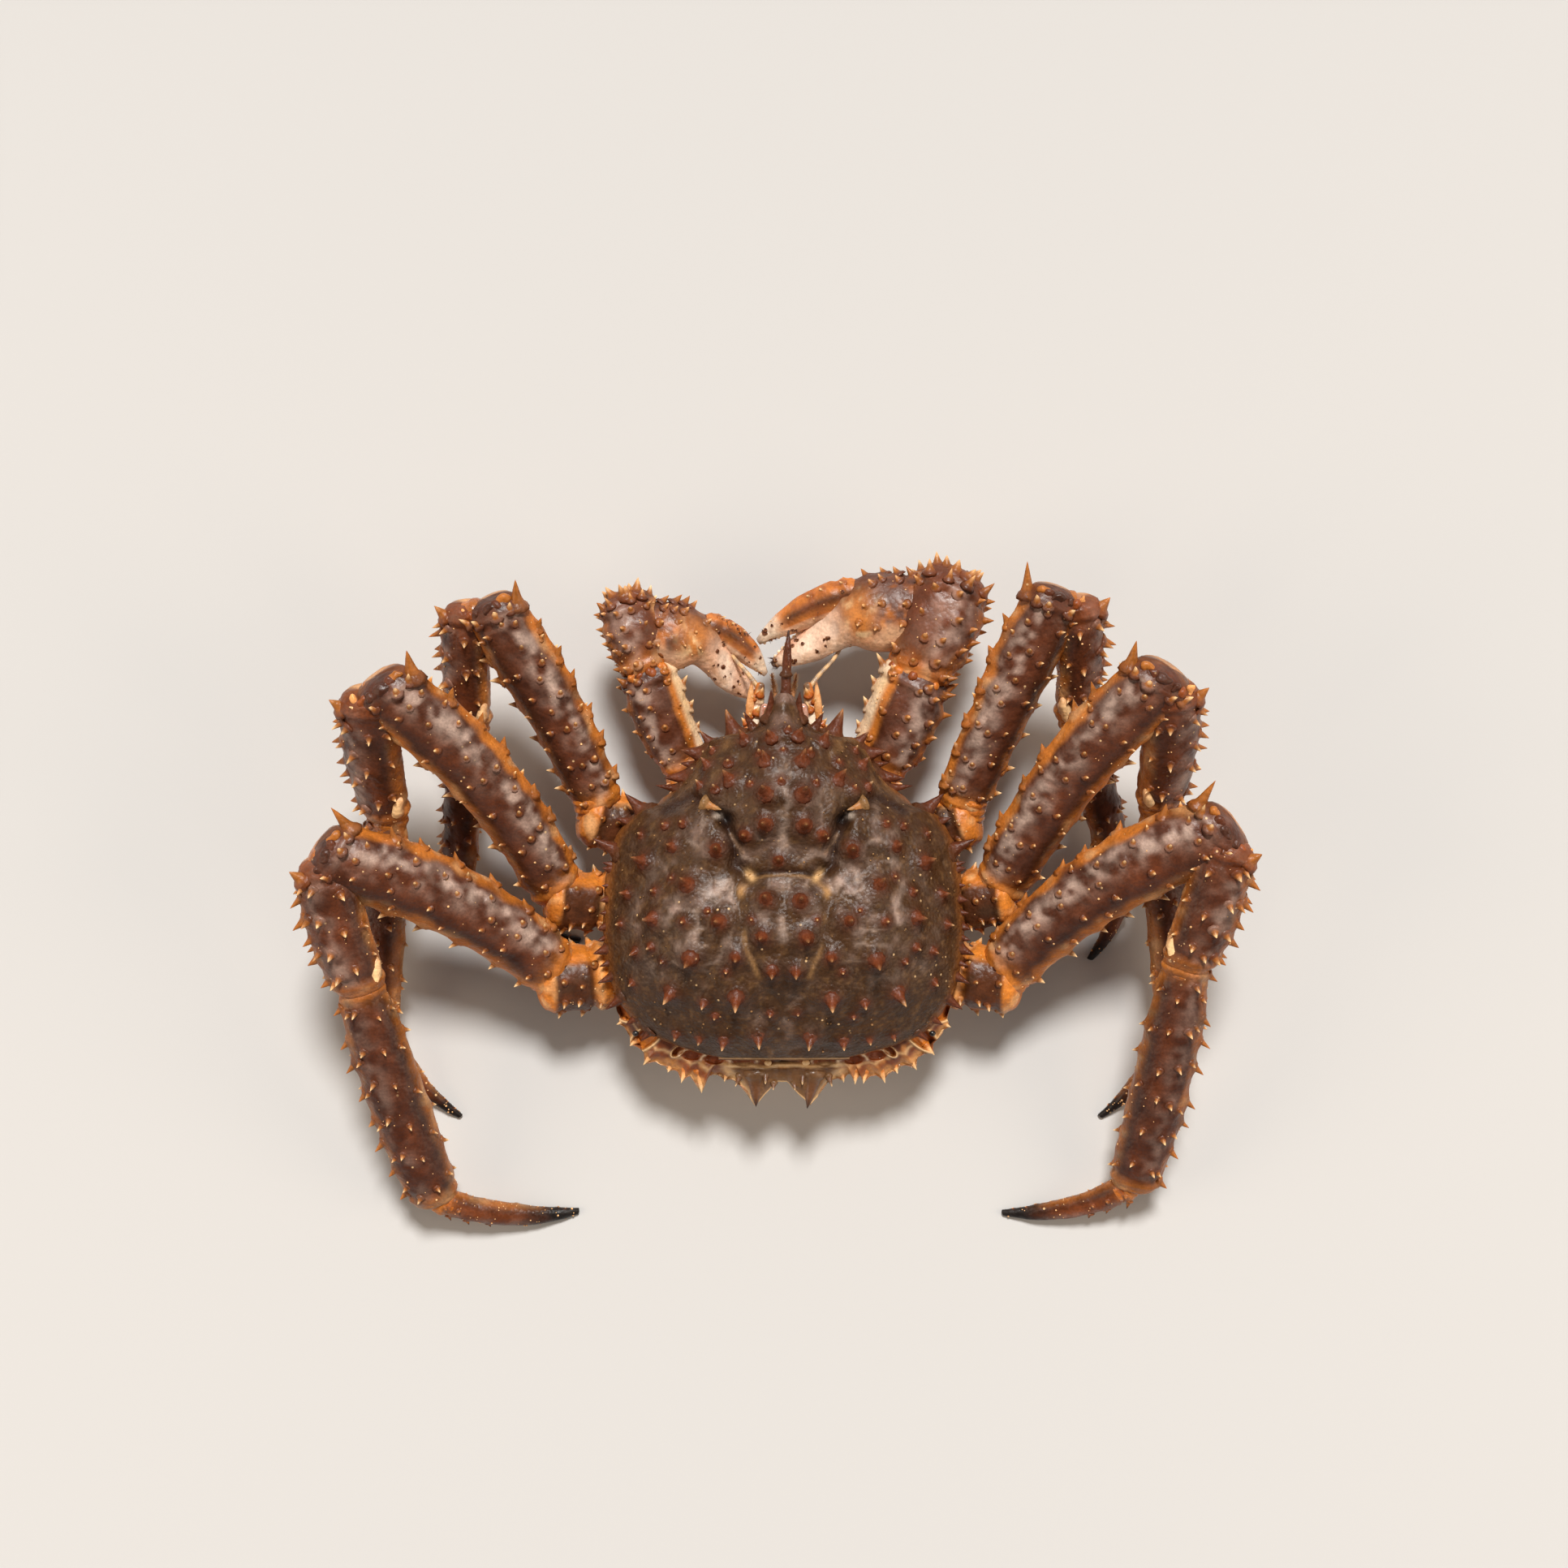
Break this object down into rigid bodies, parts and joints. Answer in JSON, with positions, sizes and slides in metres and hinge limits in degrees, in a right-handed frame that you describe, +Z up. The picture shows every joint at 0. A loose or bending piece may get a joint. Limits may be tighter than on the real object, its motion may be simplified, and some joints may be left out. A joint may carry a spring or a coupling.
{
  "type": "red king crab",
  "caption": "Life-size red king crab resting on its belly, legs folded beside it and claws before its face, covered in conical spines.",
  "frame": {"origin": "on the floor under the middle of the carapace, on the flat underside of the folded tail flap", "axes": "+Z up, -Y the way the face looks, +X the crab's left side"},
  "size_m": [0.4197, 0.2993, 0.1115],
  "materials": {
    "shell": "wet satin shell, olive brown with red-brown spines and cream dots",
    "leg_shell": "wet satin shell, maroon brown above and amber orange at the edges",
    "joint_orange": "wet satin shell, orange with brown patches and cream dots",
    "dactyl_dark": "satin horn, brown running to a black tip",
    "underside": "satin shell, cream to orange",
    "feeler_cream": "satin, cream",
    "eye_black": "gloss black"
  },
  "bodies": {
    "root": {"carapace": "shell", "thorax": "underside", "abdomen_flap": "underside", "abdomen_plates": "underside", "claw_left_hip": "joint_orange", "claw_left_merus": "leg_shell", "claw_left_carpus": "leg_shell", "claw_left_palm": "leg_shell", "claw_left_finger": "joint_orange", "claw_right_hip": "joint_orange", "claw_right_merus": "leg_shell", "claw_right_carpus": "leg_shell", "claw_right_palm": "leg_shell", "claw_right_finger": "joint_orange", "eye_left": "eye_black", "antenna_left": "feeler_cream", "antennule_left": "feeler_cream", "maxilliped_left": "underside", "eye_right": "eye_black", "antenna_right": "feeler_cream", "antennule_right": "feeler_cream", "maxilliped_right": "underside", "leg_left_1_hip": "joint_orange", "leg_left_1_merus": "leg_shell", "leg_left_1_carpus": "leg_shell", "leg_left_1_propodus": "leg_shell", "leg_left_1_dactyl": "dactyl_dark", "leg_left_2_hip": "joint_orange", "leg_left_2_merus": "leg_shell", "leg_left_2_carpus": "leg_shell", "leg_left_2_propodus": "leg_shell", "leg_left_2_dactyl": "dactyl_dark", "leg_left_3_hip": "joint_orange", "leg_left_3_merus": "leg_shell", "leg_left_3_carpus": "leg_shell", "leg_left_3_propodus": "leg_shell", "leg_left_3_dactyl": "dactyl_dark", "leg_right_1_hip": "joint_orange", "leg_right_1_merus": "leg_shell", "leg_right_1_carpus": "leg_shell", "leg_right_1_propodus": "leg_shell", "leg_right_1_dactyl": "dactyl_dark", "leg_right_2_hip": "joint_orange", "leg_right_2_merus": "leg_shell", "leg_right_2_carpus": "leg_shell", "leg_right_2_propodus": "leg_shell", "leg_right_2_dactyl": "dactyl_dark", "leg_right_3_hip": "joint_orange", "leg_right_3_merus": "leg_shell", "leg_right_3_carpus": "leg_shell", "leg_right_3_propodus": "leg_shell", "leg_right_3_dactyl": "dactyl_dark"}
  },
  "joints": []
}
